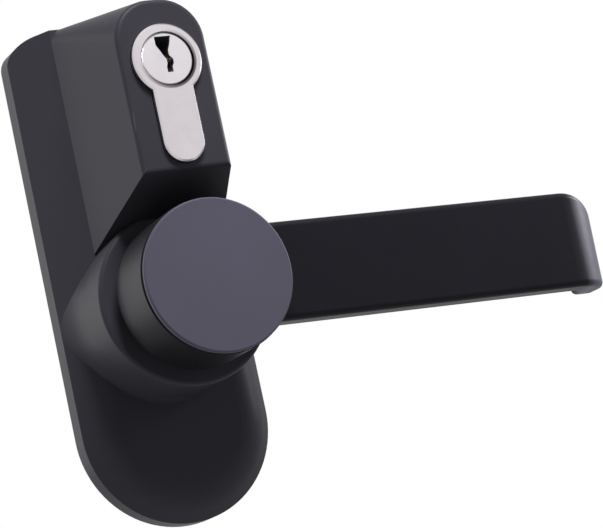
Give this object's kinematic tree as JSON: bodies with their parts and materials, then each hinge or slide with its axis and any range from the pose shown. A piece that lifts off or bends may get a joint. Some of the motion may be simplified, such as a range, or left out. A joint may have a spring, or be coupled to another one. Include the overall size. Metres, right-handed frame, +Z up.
{
  "type": "panic bar outside handle",
  "caption": "Black door plate with a lever handle and a keyed profile cylinder in a raised tower; the key couples the lever to a square spindle for a panic bar.",
  "frame": {"origin": "on the door face, at the axis of the lever and the square spindle", "axes": "+Z up, +X to the right along the lever's arm, +Y into the door along the spindle"},
  "size_m": [0.131, 0.0865, 0.1195],
  "materials": {
    "black_coat": "satin black powder coat",
    "steel": "zinc-plated steel",
    "spring_steel": "spring steel wire",
    "nickel": "satin nickel plate on brass",
    "brass": "turned brass"
  },
  "bodies": {
    "base": {"housing": "black_coat", "back_plate": "steel", "back_plate_screws": "steel", "fixing_inserts": "brass", "hub_bush": "brass", "thrust_washer": "steel", "return_spring": "spring_steel", "cylinder_body": "nickel", "driver_pins": "brass", "pin_springs": "spring_steel", "chamber_plugs": "brass", "cylinder_screw": "steel", "slide_guides": "steel", "slide_spring": "spring_steel"},
    "lever": {"lever_handle": "black_coat", "hub_cap": "black_coat", "hub_screw": "steel", "lever_shank": "steel", "clutch_spring": "spring_steel"},
    "clutch": {"clutch_pin": "steel"},
    "follower": {"driver": "steel", "spindle": "steel", "spindle_pin": "steel"},
    "slide": {"clutch_slide": "steel"},
    "plug": {"cylinder_plug": "nickel", "key_pins": "brass", "cam": "steel", "plug_clip": "spring_steel"}
  },
  "joints": [
    {"name": "lever_turn", "type": "hinge", "parent": "base", "child": "lever", "pos_m": [0, 0, 0], "axis": [0, 1, 0], "range_deg": [0, 45], "stiffness_Nm_per_rad": 0.6, "springref_deg": -20.05, "deforming": ["return_spring"]},
    {"name": "driver_turn", "type": "hinge", "parent": "base", "child": "follower", "pos_m": [0, 0, 0], "axis": [0, 1, 0], "range_deg": [0, 45]},
    {"name": "key_turn", "type": "hinge", "parent": "base", "child": "plug", "pos_m": [0, 0, 0.052], "axis": [0, -1, 0], "range_deg": [0, 45]},
    {"name": "slide_travel", "type": "slide", "parent": "base", "child": "slide", "axis": [0, 0, -1], "range_m": [0, 0.0028], "deforming": ["slide_spring"]},
    {"name": "pin_travel", "type": "slide", "parent": "lever", "child": "clutch", "axis": [0, 0, -1], "range_m": [0, 0.0022], "deforming": ["clutch_spring"]}
  ],
  "couplings": [
    {"joint": "driver_turn", "follows": "lever_turn", "ratio": 1},
    {"joint": "slide_travel", "follows": "key_turn", "m_per_rad": 0.003565},
    {"joint": "pin_travel", "follows": "key_turn", "m_per_rad": 0.0028}
  ]
}
